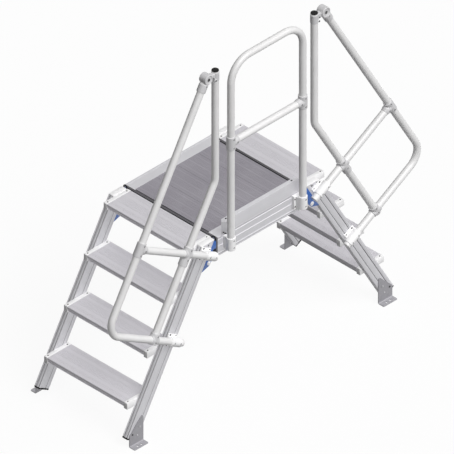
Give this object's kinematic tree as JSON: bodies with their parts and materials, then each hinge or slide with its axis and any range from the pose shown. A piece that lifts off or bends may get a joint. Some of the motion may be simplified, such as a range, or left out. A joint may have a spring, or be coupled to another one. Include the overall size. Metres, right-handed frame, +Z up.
{
  "type": "crossover platform",
  "caption": "Stationary aluminium step-over with two steep flights, a short deck, a guard hoop with toe board and handrails along one side, on bolted feet.",
  "frame": {"origin": "middle of the footprint at floor level", "axes": "+X along the crossing, -Y the railed side, +Z up"},
  "size_m": [2.2724, 0.7894, 2.114],
  "materials": {
    "mill_profile": "extruded, satin",
    "tread_plank": "ribbed extrusion, satin",
    "deck_plank": "ribbed extrusion, darker grey",
    "rail_tube": "drawn tube, satin",
    "cast_fitting": "cast, blasted",
    "zinc_plate": "zinc plated, dull",
    "end_plate": "black, fine grain",
    "blue_coating": "blue coated casting",
    "black_plastic": "moulded, fine grain"
  },
  "bodies": {
    "root": {"stringer_left_near": "mill_profile", "stringer_left_far": "mill_profile", "stringer_right_near": "mill_profile", "stringer_right_far": "mill_profile", "stringer_caps": "cast_fitting", "stringer_shoes": "black_plastic", "foot_left_near": "zinc_plate", "foot_left_far": "zinc_plate", "foot_right_near": "zinc_plate", "foot_right_far": "zinc_plate", "tread_left_1": "tread_plank", "tread_left_2": "tread_plank", "tread_left_3": "tread_plank", "tread_left_4": "tread_plank", "tread_right_1": "tread_plank", "tread_right_2": "tread_plank", "tread_right_3": "tread_plank", "tread_right_4": "tread_plank", "tread_ends_left": "cast_fitting", "tread_ends_right": "cast_fitting", "platform_side_near": "mill_profile", "platform_side_far": "mill_profile", "platform_end_left": "end_plate", "platform_end_right": "end_plate", "deck": "deck_plank", "toe_board": "mill_profile", "wedges_left": "blue_coating", "wedges_right": "blue_coating", "guard_hoop": "rail_tube", "guard_mid_rail": "rail_tube", "guard_tees": "cast_fitting", "guard_post_clamps": "cast_fitting", "handrail_left": "rail_tube", "handrail_right": "rail_tube", "knee_rail_left": "rail_tube", "knee_rail_right": "rail_tube", "strut_left": "rail_tube", "strut_right": "rail_tube", "rail_tees_left": "cast_fitting", "rail_tees_right": "cast_fitting", "stringer_clamps_left": "cast_fitting", "stringer_clamps_right": "cast_fitting", "knuckle_left": "cast_fitting", "knuckle_right": "cast_fitting", "rail_caps": "black_plastic"}
  },
  "joints": []
}
